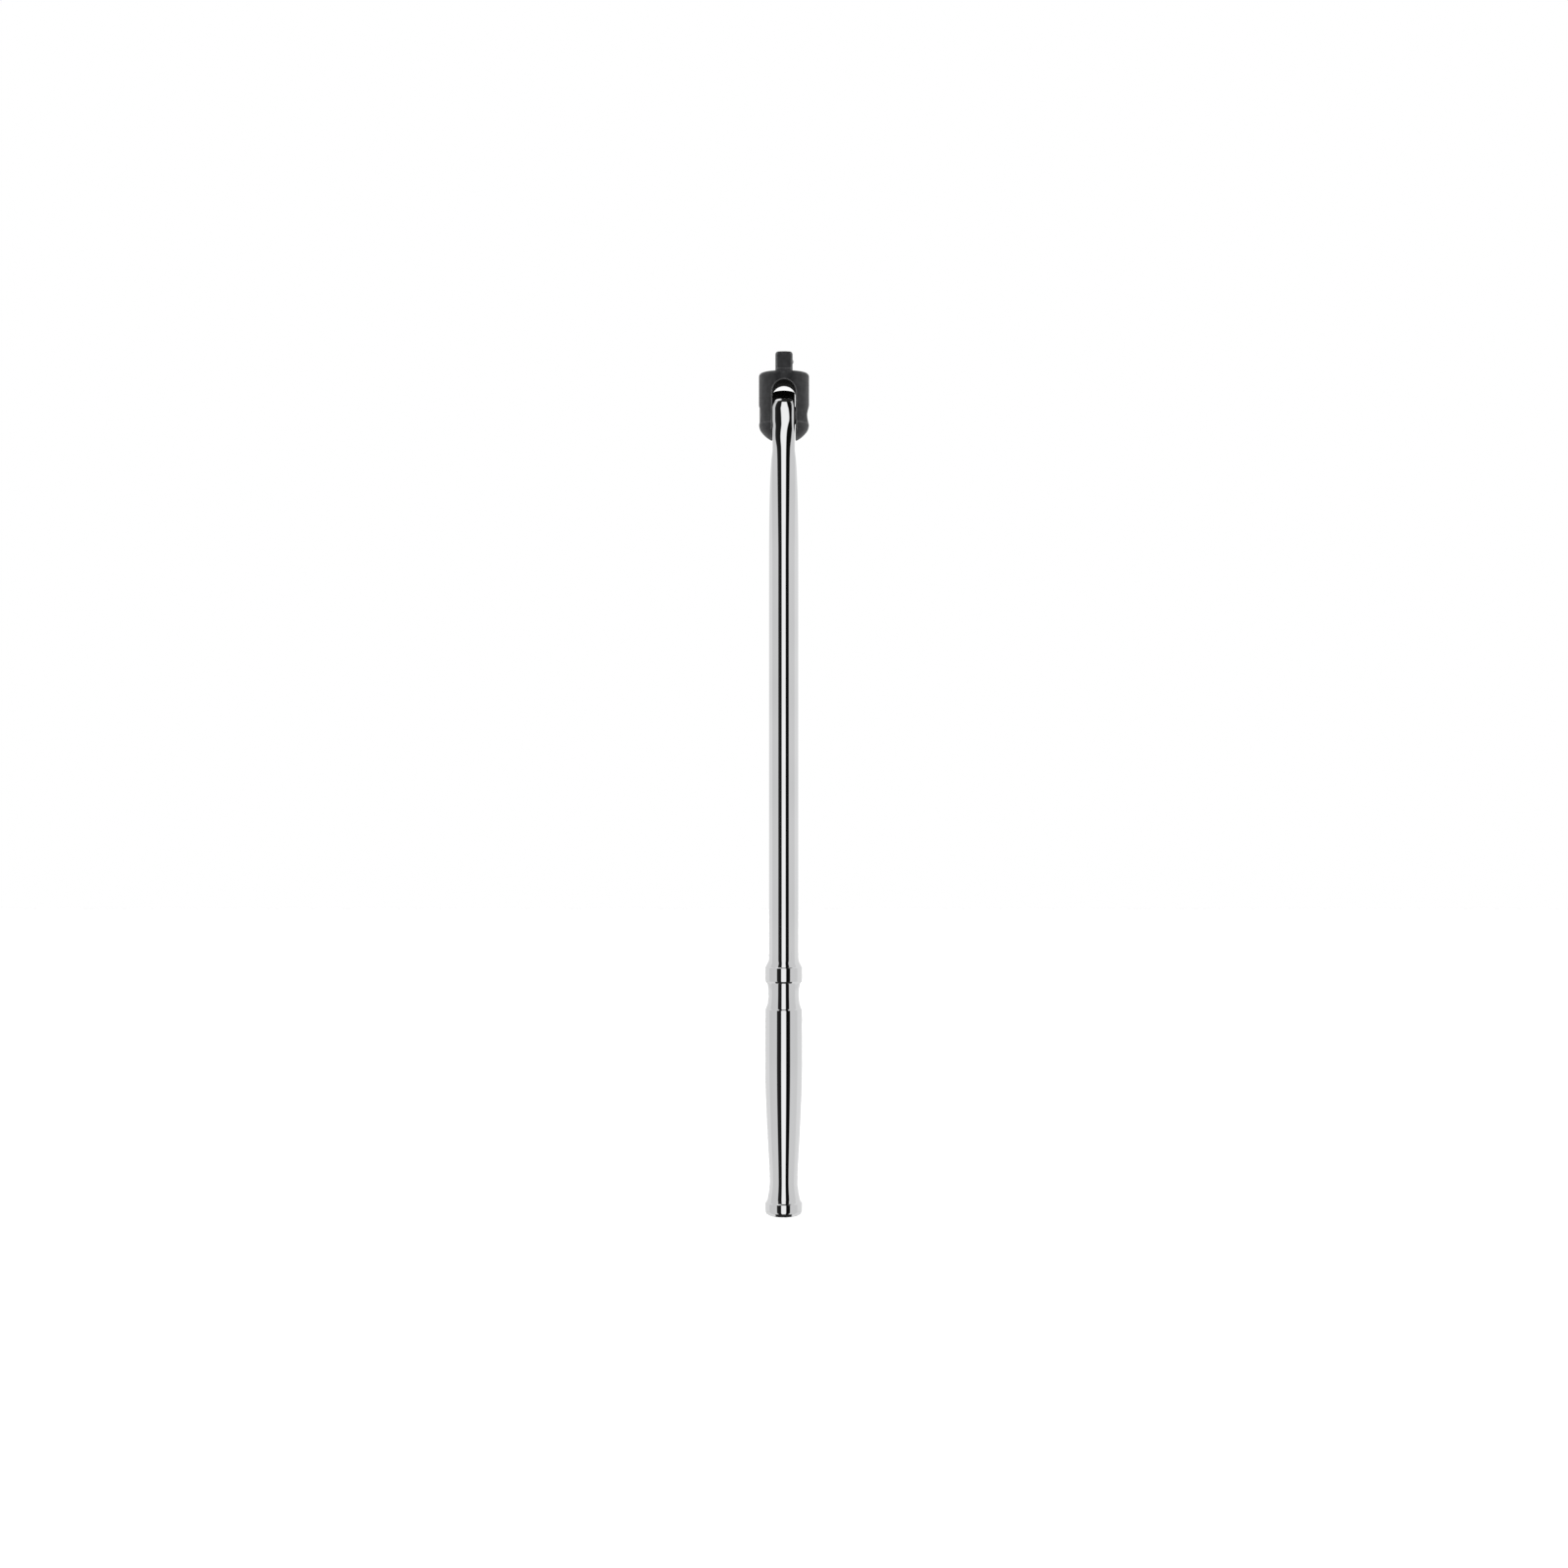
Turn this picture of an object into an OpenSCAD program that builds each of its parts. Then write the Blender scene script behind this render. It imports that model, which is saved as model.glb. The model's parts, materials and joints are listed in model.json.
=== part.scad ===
// Flex-head breaker bar with a half-inch square drive.
// The bar stands upright: +Z points out of the drive square, X runs along the pivot pin,
// and the origin is the centre of the shoulder that a socket seats against.

/* [Drive square] */
// Width of the drive square across its flats
square_w = 12.7; // [12.6:0.05:12.75]
// Length of the drive square above the shoulder
square_len = 15.8; // [15:0.1:17]
// Flat ground on each long corner of the square
square_corner = 1.0; // [0.6:0.1:1.4]
// Rounding of the edges at the tip of the square
tip_round = 2.0; // [1:0.1:2.4]
// Fillet where the square meets the shoulder
root_fillet = 1.8; // [1:0.1:2.2]

/* [Drive head] */
// Diameter of the head
head_d = 37; // [35:0.5:39]
// Depth of the pivot axis below the shoulder
pivot_drop = 31.2; // [30.5:0.1:32]
// Radius of the ball-shaped lower end, about the pivot
head_end_r = 20.7; // [20.2:0.1:21]
// Rounding of the top edge of the head
head_round = 2.8; // [2:0.1:3.2]
// Width of the slot between the two ears
slot_w = 17.1; // [16.9:0.1:17.3]
// Depth of the top of the slot's arch below the shoulder
slot_top = 7.1; // [6.8:0.1:7.4]

/* [Pivot pin] */
// Diameter of the pivot pin
pin_d = 13; // [12:0.1:13.2]
// Reach of the pin from the middle of the head towards -X
pin_reach_left = 18.0; // [17:0.1:18.2]
// Reach of the pin from the middle of the head towards +X
pin_reach_right = 17.0; // [16.5:0.1:18]
// Bevel on the ends of the pin
pin_bevel = 0.9; // [0.5:0.1:1.2]
// Gap between the pin and the bore in the tang, on each side
pin_gap = 0.05; // [0.03:0.01:0.08]

/* [Tang] */
// Thickness of the tang and the neck between their flats
tang_t = 16.4; // [16.1:0.1:16.5]
// Radius of the tip of the tang, about the pivot
tang_tip_r = 18.4; // [18:0.1:18.6]
// Half the depth of the tang from its front edge to its back edge
tang_half_depth = 18; // [17:0.1:18]
// Radius of the crown on the edge of the tang
tang_crown_r = 24; // [20:1:30]
// Radius of the corners between the crown and the flats
tang_corner_r = 3; // [2.5:0.1:3.5]
// Gap between the tang and the ear that it is pushed against
tang_gap = 0.1; // [0.08:0.01:0.15]

/* [Shaft and grip] */
// Diameter of the straight shaft
shaft_d = 21.6; // [21:0.1:22]
// Distance from the shoulder to the end of the butt
bar_end = 621.5; // [615:0.5:630]
// Diameter of the collar above the grip
collar_d = 27.2; // [26.6:0.1:27.4]
// Diameter of the groove between the collar and the grip
groove_d = 22.4; // [22:0.1:23]
// Largest diameter of the grip
grip_d = 27.2; // [26.6:0.1:27.4]
// Smallest diameter of the grip, near the butt
waist_d = 20.4; // [20:0.1:21.4]
// Diameter of the butt
butt_d = 27.1; // [26.6:0.1:27.2]

/* [Spring balls] */
// Diameter of the detent ball and of the friction ball
ball_d = 3.5; // [3.4:0.1:3.6]
// How far the detent ball stands out of the square
detent_proud = 0.9; // [0.7:0.1:1]
// Height of the detent ball above the shoulder
detent_height = 8.4; // [7.5:0.1:9]
// Distance of the friction ball behind the pivot
friction_offset = 9.6; // [9.5:0.1:9.8]
// Gap between a ball and its bore, on each side
ball_gap = 0.05; // [0.03:0.01:0.08]
// Diameter of the spring wire
wire_d = 0.5; // [0.4:0.05:0.6]
// Turns in each spring
spring_turns = 7; // [5:1:8]

/* [Hidden] */
$fn = 96;

// Gap between the friction ball and the ear it bears on, which keeps the solids apart
ball_contact_gap = 0.02;
// Length that cutting tools run past the faces they cut
overshoot = 30;

head_r = head_d / 2;
slot_r = slot_w / 2;
pin_r = pin_d / 2;
ball_r = ball_d / 2;
ball_bore_r = ball_r + ball_gap;

// The friction spring pushes the tang against the -X ear, so the bar sits off centre
bar_x = -(slot_w - tang_t) / 2 + tang_gap;

// Detent ball, in a blind bore from the +X face of the square
detent_x = square_w / 2 + detent_proud - ball_r;
detent_bore_end = -1.5;

// Friction ball, in a blind pocket from the +X face of the tang
friction_x = slot_r - ball_contact_gap - ball_r;
friction_bore_end = -1.2;

// Depths below the shoulder at which the forged end changes. The flats run on below the head,
// far enough to clear the ears at every angle.
tang_end = 36;
flats_end = 57;
forging_end = 125;
// Half width that the forging keeps at its end, just over the shaft's radius
forging_end_r = shaft_d / 2 + 0.2;

// Radius of the blank around the tang
blank_r = tang_half_depth + 0.4;

// Depths below the shoulder of the turned features
collar_top = 438.8;
collar_bottom = 447.8;
collar_rise = 8.8;
groove_mid = 458;
grip_top = 470;
grip_swell_end = 508;
waist = 596;
flare_end = 609;
butt_top = 612.2;
// Rounding of the end of the butt, across and along the bar
butt_round_r = 6;
butt_round_h = 4.3;

// Point at t along a cubic curve with four control points
function curve_point(p, t) =
    pow(1 - t, 3) * p[0] + 3 * pow(1 - t, 2) * t * p[1]
    + 3 * (1 - t) * t * t * p[2] + pow(t, 3) * p[3];

// Points along a cubic curve, from just after its start to its end
function curve(p, steps) = [for (i = [1 : steps]) curve_point(p, i / steps)];

// Points along an arc about centre, from angle a0 to a1
function arc(centre, r, a0, a1, steps) =
    [for (i = [0 : steps]) centre + r * [cos(a0 + (a1 - a0) * i / steps), sin(a0 + (a1 - a0) * i / steps)]];

// The same points backwards, mirrored from right to left or from top to bottom
function mirrored(points) = [for (i = [len(points) - 1 : -1 : 0]) [-points[i][0], points[i][1]]];
function flipped(points) = [for (i = [len(points) - 1 : -1 : 1]) [points[i][0], -points[i][1]]];

// Depths below the shoulder are positive in the outlines, and turn into heights here
function upright(points) = [for (p = points) [p[0], -p[1]]];

// Radius against depth for the turned blank, from the top of the tang to the butt
function blank_outline() =
    let (shaft_r = shaft_d / 2, collar_r = collar_d / 2, groove_r = groove_d / 2,
         grip_r = grip_d / 2, waist_r = waist_d / 2, butt_r = butt_d / 2)
    concat(
        [[0, pivot_drop - tang_tip_r - 1], [blank_r, pivot_drop - tang_tip_r - 1], [blank_r, tang_end]],
        curve([[blank_r, tang_end], [blank_r, tang_end + 7], [shaft_r, tang_end + 7], [shaft_r, 130]], 16),
        [[shaft_r, collar_top - collar_rise]],
        curve([[shaft_r, collar_top - collar_rise], [shaft_r, collar_top - 4.3],
               [collar_r - 1, collar_top - 3.6], [collar_r - 0.3, collar_top - 1.2]], 8),
        [[collar_r, collar_top], [collar_r, collar_bottom]],
        [[collar_r - 0.15, collar_bottom + 0.6], [collar_r - 1.1, collar_bottom + 1.6]],
        curve([[collar_r - 1.1, collar_bottom + 1.6], [groove_r + 0.7, collar_bottom + 2.8],
               [groove_r, collar_bottom + 5.7], [groove_r, groove_mid]], 8),
        curve([[groove_r, groove_mid], [groove_r, groove_mid + 5.5],
               [groove_r + 0.8, groove_mid + 8], [grip_r - 0.4, groove_mid + 10.6]], 8),
        [[grip_r - 0.1, grip_top], [grip_r, grip_swell_end]],
        curve([[grip_r, grip_swell_end], [grip_r, grip_swell_end + 37],
               [waist_r, waist - 13], [waist_r, waist]], 16),
        curve([[waist_r, waist], [waist_r, waist + 5],
               [waist_r + 1.4, waist + 10.5], [waist_r + 1.8, flare_end]], 8),
        [[butt_r - 0.25, butt_top - 1.4], [butt_r, butt_top], [butt_r, bar_end - butt_round_h]],
        [for (a = [15 : 15 : 90])
            [butt_r - butt_round_r * (1 - cos(a)), bar_end - butt_round_h * (1 - sin(a))]],
        [[0, bar_end]]
    );

// Half width against depth for the forged end, seen along Y
function width_outline() =
    let (half_t = tang_t / 2)
    concat(
        [[half_t, 0], [half_t, flats_end]],
        curve([[half_t, flats_end], [half_t + 0.1, flats_end + 6],
               [shaft_d / 2 - 0.3, flats_end + 4.5], [forging_end_r, forging_end]], 14),
        [[head_r, forging_end + 1], [head_r, bar_end + 1]]
    );

// Half of the rim of the tang's round tip: distance from the pivot, and distance from the middle
function rim_outline() =
    let (half_t = tang_t / 2,
         lean = asin((half_t - tang_corner_r) / (tang_crown_r - tang_corner_r)),
         crown_centre = tang_tip_r - tang_crown_r,
         corner_centre = crown_centre + (tang_crown_r - tang_corner_r) * cos(lean))
    concat(
        arc([crown_centre, 0], tang_crown_r, 0, lean, 4),
        arc([corner_centre, half_t - tang_corner_r], tang_corner_r, lean, 90, 6),
        [[0, half_t]]
    );

module along_y() {
    rotate([90, 0, 0])
        translate([0, 0, -head_d])
            linear_extrude(2 * head_d)
                children();
}

module x_cylinder(r, x0, x1) {
    translate([x0, 0, 0])
        rotate([0, 90, 0])
            cylinder(r = r, h = x1 - x0);
}

// Everything below a given depth, wide enough to hold the whole bar
module below(depth) {
    translate([-head_d, -head_d, -bar_end - 1])
        cube([2 * head_d, 2 * head_d, bar_end + 1 - depth]);
}

module turned_blank() {
    rotate_extrude()
        polygon(upright(blank_outline()));
}

module forged_width() {
    along_y()
        polygon(upright(concat(width_outline(), mirrored(width_outline()))));
}

// Round tip of the tang, a crowned disc about the pivot
module tang_tip() {
    union() {
        translate([0, 0, -pivot_drop])
            rotate([0, 90, 0])
                rotate_extrude()
                    polygon(concat(flipped(rim_outline()), rim_outline()));
        below(pivot_drop);
    }
}

// Crowned front and back edges of the tang
module tang_crowns() {
    union() {
        intersection_for(side = [-1, 1])
            translate([0, side * (tang_crown_r - tang_half_depth), -flats_end - 1])
                cylinder(r = tang_crown_r, h = flats_end);
        below(flats_end);
    }
}

module handle_bar() {
    color("#c6c9cd")
        difference() {
            translate([bar_x, 0, 0])
                intersection() {
                    turned_blank();
                    forged_width();
                    tang_tip();
                    tang_crowns();
                }
            translate([0, 0, -pivot_drop])
                x_cylinder(pin_r + pin_gap, -head_r, head_r);
            translate([0, friction_offset, -pivot_drop])
                x_cylinder(ball_bore_r, friction_bore_end, head_r);
        }
}

module head_body() {
    union() {
        rotate_extrude()
            union() {
                translate([0, -pivot_drop])
                    square([head_r, pivot_drop - head_round]);
                translate([0, -head_round - 1])
                    square([head_r - head_round, head_round + 1]);
                translate([head_r - head_round, -head_round])
                    circle(r = head_round);
            }
        intersection() {
            translate([0, 0, -pivot_drop - overshoot])
                cylinder(r = head_r, h = overshoot);
            translate([0, 0, -pivot_drop])
                sphere(r = head_end_r);
        }
    }
}

// Side view of the drive square, with its root fillets and its rounded tip
module square_outline() {
    half_w = square_w / 2;
    difference() {
        union() {
            translate([-half_w - root_fillet, -1])
                square([square_w + 2 * root_fillet, root_fillet + 1]);
            translate([-half_w, 0])
                square([square_w, square_len - tip_round]);
            translate([-half_w + tip_round, 0])
                square([square_w - 2 * tip_round, square_len]);
            for (side = [-1, 1])
                translate([side * (half_w - tip_round), square_len - tip_round])
                    circle(r = tip_round);
        }
        for (side = [-1, 1])
            translate([side * (half_w + root_fillet), root_fillet])
                circle(r = root_fillet);
    }
}

module drive_square() {
    across_corners = square_w * sqrt(2) - square_corner * sqrt(2);
    intersection() {
        along_y() square_outline();
        rotate([0, 0, 90]) along_y() square_outline();
        rotate([0, 0, 45])
            translate([-across_corners / 2, -across_corners / 2, -2])
                cube([across_corners, across_corners, square_len + 4]);
    }
}

// Slot for the tang: straight walls under a round arch
module tang_slot() {
    along_y()
        union() {
            translate([0, -slot_top - slot_r])
                circle(r = slot_r);
            translate([-slot_r, -slot_top - slot_r - 2 * overshoot])
                square([slot_w, 2 * overshoot]);
        }
}

// Blind bore for the detent ball, drawn in at its mouth so that the ball can't fall out
module detent_bore() {
    translate([0, 0, detent_height])
        union() {
            x_cylinder(ball_bore_r, detent_bore_end, detent_x);
            translate([detent_x, 0, 0])
                sphere(r = ball_bore_r);
        }
}

module drive_head() {
    color("#3b3c3e")
        difference() {
            union() {
                head_body();
                drive_square();
            }
            tang_slot();
            translate([0, 0, -pivot_drop])
                x_cylinder(pin_r, -head_d, head_d);
            detent_bore();
        }
}

module pivot_pin() {
    length = pin_reach_left + pin_reach_right;
    color("#7f8285")
        translate([-pin_reach_left, 0, -pivot_drop])
            rotate([0, 90, 0])
                rotate_extrude()
                    polygon([[0, 0], [pin_r - pin_bevel, 0], [pin_r, pin_bevel],
                             [pin_r, length - pin_bevel], [pin_r - pin_bevel, length], [0, length]]);
}

module ball(x, y, z) {
    color("#b9bcc0")
        translate([x, y, z])
            sphere(r = ball_r);
}

// Coil spring along X, from x0 to x1, that fits inside a ball's bore
module coil_spring(x0, x1) {
    wire_r = wire_d / 2;
    coil_r = ball_r - wire_r - 0.1;
    sides = 8;
    steps = 14;
    count = spring_turns * steps;
    pitch = (x1 - x0 - wire_d) / count;
    points = [for (i = [0 : count], k = [0 : sides - 1])
        let (turn = 360 * i / steps, around = 360 * k / sides, reach = coil_r + wire_r * cos(around))
        [x0 + wire_r + pitch * i + wire_r * sin(around), reach * cos(turn), reach * sin(turn)]];
    walls = [for (i = [0 : count - 1], k = [0 : sides - 1])
        let (next = (k + 1) % sides)
        [i * sides + k, i * sides + next, (i + 1) * sides + next, (i + 1) * sides + k]];
    first_cap = [for (k = [sides - 1 : -1 : 0]) k];
    last_cap = [for (k = [0 : sides - 1]) count * sides + k];
    color("#a4a9ae")
        polyhedron(points, concat(walls, [first_cap, last_cap]));
}

module detent_ball() {
    ball(detent_x, 0, detent_height);
}

module detent_spring() {
    translate([0, 0, detent_height])
        coil_spring(detent_bore_end, detent_x - ball_r);
}

module friction_ball() {
    ball(friction_x, friction_offset, -pivot_drop);
}

module friction_spring() {
    translate([0, friction_offset, -pivot_drop])
        coil_spring(friction_bore_end, friction_x - ball_r);
}

handle_bar();
drive_head();
pivot_pin();
detent_ball();
detent_spring();
friction_ball();
friction_spring();
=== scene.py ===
import json
from math import asin, cos, pi, radians, sin, sqrt, tan

import bmesh
import bpy
import numpy as np
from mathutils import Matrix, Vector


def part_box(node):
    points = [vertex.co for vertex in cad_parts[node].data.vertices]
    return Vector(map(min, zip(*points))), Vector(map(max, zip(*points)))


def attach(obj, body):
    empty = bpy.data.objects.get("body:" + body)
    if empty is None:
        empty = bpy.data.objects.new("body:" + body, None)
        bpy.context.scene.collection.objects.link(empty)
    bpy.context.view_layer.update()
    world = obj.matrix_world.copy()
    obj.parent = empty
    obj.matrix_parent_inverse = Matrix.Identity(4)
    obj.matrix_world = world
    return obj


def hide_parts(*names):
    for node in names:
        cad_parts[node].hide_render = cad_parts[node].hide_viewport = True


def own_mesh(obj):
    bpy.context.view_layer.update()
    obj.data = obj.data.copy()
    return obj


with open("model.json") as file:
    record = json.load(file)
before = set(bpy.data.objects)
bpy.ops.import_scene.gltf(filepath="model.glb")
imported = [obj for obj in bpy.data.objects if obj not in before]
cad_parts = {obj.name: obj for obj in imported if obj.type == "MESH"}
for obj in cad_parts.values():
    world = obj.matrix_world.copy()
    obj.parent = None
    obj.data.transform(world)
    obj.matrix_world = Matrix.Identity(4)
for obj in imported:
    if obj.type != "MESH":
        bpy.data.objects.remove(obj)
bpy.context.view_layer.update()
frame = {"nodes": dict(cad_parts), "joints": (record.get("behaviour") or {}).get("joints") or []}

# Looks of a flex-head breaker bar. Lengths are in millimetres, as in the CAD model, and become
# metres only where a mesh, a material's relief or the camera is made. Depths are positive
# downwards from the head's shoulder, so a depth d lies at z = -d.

MM = 0.001

joints = {joint["name"]: joint for joint in frame["joints"]}


def box_mm(node):
    """Lowest and highest corner of a CAD node at rest."""
    low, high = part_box(node)
    return np.array(low) / MM, np.array(high) / MM


head_low, head_high = box_mm("drive_head")
bar_low, bar_high = box_mm("handle_bar")
pin_low, pin_high = box_mm("pivot_pin")
detent_low, detent_high = box_mm("detent_ball")
friction_low, friction_high = box_mm("friction_ball")

# Head
PIVOT_Z = joints["head_flex"]["pos_m"][2] / MM
HEAD_R = head_high[0]
HEAD_END_R = 20.7
HEAD_ROUND = 2.8
HEAD_CORNER = 1.4
SQUARE_LEN = head_high[2]
SQUARE_W = 12.7
SQUARE_CORNER = 1.0
SQUARE_EDGE = 0.2
SQUARE_ROOT_Z = -2
TIP_ROUND = 2.0
TIP_DOME_R = 50
ROOT_FILLET = 1.8
SLOT_R = 8.55
SLOT_TOP = 7.1
SLOT_EDGE = 0.9
BORE_EDGE = 0.75
HOLE_EDGE = 0.15
HEAD_CELL = 0.37
# A painted highlight: a lighter line this wide is painted round the square's root at this height
ROOT_HIGHLIGHT_Z = 2.8
ROOT_HIGHLIGHT_W = 0.4
# The ears' outer rims, below this height, get neither the rubbed grey nor its painted edge highlight
RUBBED_AND_LIT_TO_Z = -39

# Pin, balls and springs
PIN_R = (pin_high[2] - pin_low[2]) / 2
PIN_BEVEL = 0.9
PIN_GAP = 0.05
CENTRE_MARK_R = 1.3
CENTRE_MARK_DEPTH = 0.55
BALL_R = (detent_high[0] - detent_low[0]) / 2
BALL_BORE_R = BALL_R + 0.05
DETENT_BORE_END_X = -1.5
FRICTION_POCKET_END_X = -1.2
DETENT_CENTRE = (detent_low + detent_high) / 2
FRICTION_CENTRE = (friction_low + friction_high) / 2
WIRE_D = 0.5
SPRING_TURNS = 7

# Tang and neck
BAR_X = (bar_low[0] + bar_high[0]) / 2
BAR_END = -bar_low[2]
TANG_HALF_W = 8.2
TANG_HALF_D = bar_high[1]
TANG_TIP_R = bar_high[2] - PIVOT_Z
TANG_END = 36
BLANK_END = 43
FLATS_END = 57
CORNER_END = 64
# From this depth the neck tapers so gently that its rings can stand further apart
GENTLE_FROM = 72
NECK_END = 130
# The forged face isn't quite even. Each row is a depth, and there the radius of the face's crown,
# how far the crown's middle lies to the side, the radius of the right corner, and how far round the
# left corner turns before a narrow flat takes it to the side. FACE_BLUR evens it out along the bar.
FORGED_FACE = [(12, 26, 0.0, 1.7, 28), (18, 22, 0.3, 2.6, 28), (25, 20.5, 0.5, 3.2, 28),
               (28, 21, 0.6, 3.4, 28), (32, 22.3, 1.1, 3.5, 28), (37, 22.3, 1.3, 3.5, 28),
               (41, 18, 0.7, 3.2, 28), (45, 17.5, 0.0, 2.8, 34), (50, 16.5, -0.2, 2.5, 58),
               (56, 13.6, 0.0, 2.4, 89), (64, 12.8, 0.0, 2.4, 89), (130, 10.8, 0.0, 2.4, 89)]
FACE_BLUR = 1.8
LEFT_CORNER_R = 3.0
FLANK_EDGE_R = 0.4

# Turned features
SHAFT_R = 10.8
COLLAR_R = 13.6
GROOVE_R = 11.2
GRIP_R = 13.6
WAIST_R = 10.2
BUTT_R = 13.55
COLLAR_TOP = 438.8
COLLAR_BOTTOM = 447.8
COLLAR_RISE = 8.8
GROOVE_MID = 458
GRIP_TOP = 470
GRIP_SWELL_END = 508
WAIST = 596
FLARE_END = 609
BUTT_TOP = 612.2
BUTT_ROUND_R = 6
BUTT_ROUND_H = 4.3

# Camera, on the level of the object's middle, and stage
CAMERA_DISTANCE = 2050
CAMERA_Z = -303
LENS_MM = 63.8
SENSOR_MM = 36
FLOOR_SIZE = 12000
FLOOR_GAP = 45


# ---------------------------------------------------------------- paths and skins

def bezier(p0, p1, p2, p3, steps):
    """Points along a cubic curve, from just after its start to its end."""
    t = np.linspace(0, 1, steps + 1)[1:, None]
    p0, p1, p2, p3 = (np.array(p, float) for p in (p0, p1, p2, p3))
    return (1 - t) ** 3 * p0 + 3 * (1 - t) ** 2 * t * p1 + 3 * (1 - t) * t * t * p2 + t ** 3 * p3


def soften(points, spread):
    """The same path in short even steps, with its corners rounded over about twice the spread."""
    points = np.array(points, float)
    along = np.concatenate([[0], np.cumsum(np.linalg.norm(np.diff(points, axis=0), axis=1))])
    stops = np.linspace(0, along[-1], int(along[-1] / spread * 4) + 1)
    path = np.stack([np.interp(stops, along, points[:, k]) for k in range(points.shape[1])], -1)
    reach = 12
    weights = np.exp(-0.5 * (np.arange(-reach, reach + 1) / 4) ** 2)
    weights /= weights.sum()
    before = 2 * path[0] - path[reach:0:-1]
    after = 2 * path[-1] - path[-2:-reach - 2:-1]
    padded = np.concatenate([before, path, after])
    return np.stack([np.convolve(column, weights, "valid") for column in padded.T], -1)


def thin(path, turn, stride):
    """Only the points that the path's shape needs, for a given turn and the longest step."""
    run, rise = np.gradient(path, axis=0).T
    heading = np.unwrap(np.arctan2(rise, run))
    kept = [0]
    for i in range(1, len(path) - 1):
        turned = abs(heading[i] - heading[kept[-1]]) > turn
        if turned or np.linalg.norm(path[i] - path[kept[-1]]) > stride:
            kept.append(i)
    return path[kept + [len(path) - 1]]


def skin(rows, wrap=True):
    """Quads between each row of points and the next, as (points, faces)."""
    count, width = rows.shape[:2]
    index = np.arange(count * width).reshape(count, width)
    here = index if wrap else index[:, :-1]
    there = np.roll(index, -1, axis=1) if wrap else index[:, 1:]
    faces = np.stack([here[:-1], here[1:], there[1:], there[:-1]], -1)
    return rows.reshape(-1, 3), faces.reshape(-1, 4)


def weld(mesh):
    """Joins points that lie together, and drops the slivers between them."""
    work = bmesh.new()
    work.from_mesh(mesh)
    bmesh.ops.remove_doubles(work, verts=work.verts, dist=0.002 * MM)
    bmesh.ops.dissolve_degenerate(work, edges=work.edges, dist=0.001 * MM)
    work.to_mesh(mesh)
    work.free()


def make_piece(name, parts, sharp_angle=radians(40)):
    """A mesh object from a list of (points, faces), welded where its parts meet."""
    mesh = bpy.data.meshes.new(name)
    points = np.concatenate([part[0] for part in parts]) * MM
    starts = np.cumsum([0] + [len(part[0]) for part in parts[:-1]])
    faces = np.concatenate([part[1] + start for part, start in zip(parts, starts)])
    mesh.from_pydata(points.tolist(), [], faces.tolist())
    weld(mesh)
    mesh.shade_smooth()
    mesh.set_sharp_from_angle(angle=sharp_angle)
    piece = bpy.data.objects.new(name, mesh)
    bpy.context.scene.collection.objects.link(piece)
    return piece


def cut(piece, *cutters):
    """Takes each cutter's shape out of the piece, and removes the cutters."""
    for cutter in cutters:
        step = piece.modifiers.new("cut", "BOOLEAN")
        step.operation = "DIFFERENCE"
        step.solver = "EXACT"
        step.object = cutter
    seen = piece.evaluated_get(bpy.context.evaluated_depsgraph_get())
    result = bpy.data.meshes.new_from_object(seen)
    piece.modifiers.clear()
    piece.data = result
    weld(result)
    result.set_sharp_from_angle(angle=radians(40))
    for cutter in cutters:
        bpy.data.objects.remove(cutter)


def turn_about_x(profile, centre, sides=96):
    """Skin of a profile of (x, radius) points turned about a line along X."""
    angles = np.linspace(0, 2 * pi, sides, endpoint=False)
    x, r = profile[:, :1], profile[:, 1:]
    rows = np.stack([x + 0 * angles, centre[1] + r * np.cos(angles), centre[2] + r * np.sin(angles)], -1)
    return skin(rows[::-1])


# ---------------------------------------------------------------- the bar

def neck_shape(depth):
    """Half width and half depth of the forged end at a depth, and the four values of its face."""
    width = np.concatenate([[[TANG_HALF_W, 0], [TANG_HALF_W, FLATS_END]],
                            bezier([TANG_HALF_W, FLATS_END], [TANG_HALF_W + 0.1, FLATS_END + 6],
                                   [SHAFT_R - 0.3, FLATS_END + 4.5], [SHAFT_R, NECK_END], 200)])
    side = np.concatenate([[[TANG_HALF_D, 0], [TANG_HALF_D, TANG_END]],
                           bezier([TANG_HALF_D, TANG_END], [TANG_HALF_D, BLANK_END],
                                  [SHAFT_R, BLANK_END], [SHAFT_R, NECK_END], 200)])
    half_w = np.interp(depth, width[:, 1], width[:, 0])
    half_d = np.interp(depth, side[:, 1], side[:, 0])
    row_depths, *columns = np.array(FORGED_FACE).T
    nearby = np.linspace(-4, 4, 17)
    weights = np.exp(-0.5 * (nearby / FACE_BLUR) ** 2)
    face = [np.average(np.interp(depth + nearby, row_depths, column), weights=weights)
            for column in columns]
    return half_w, half_d, *face


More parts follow.
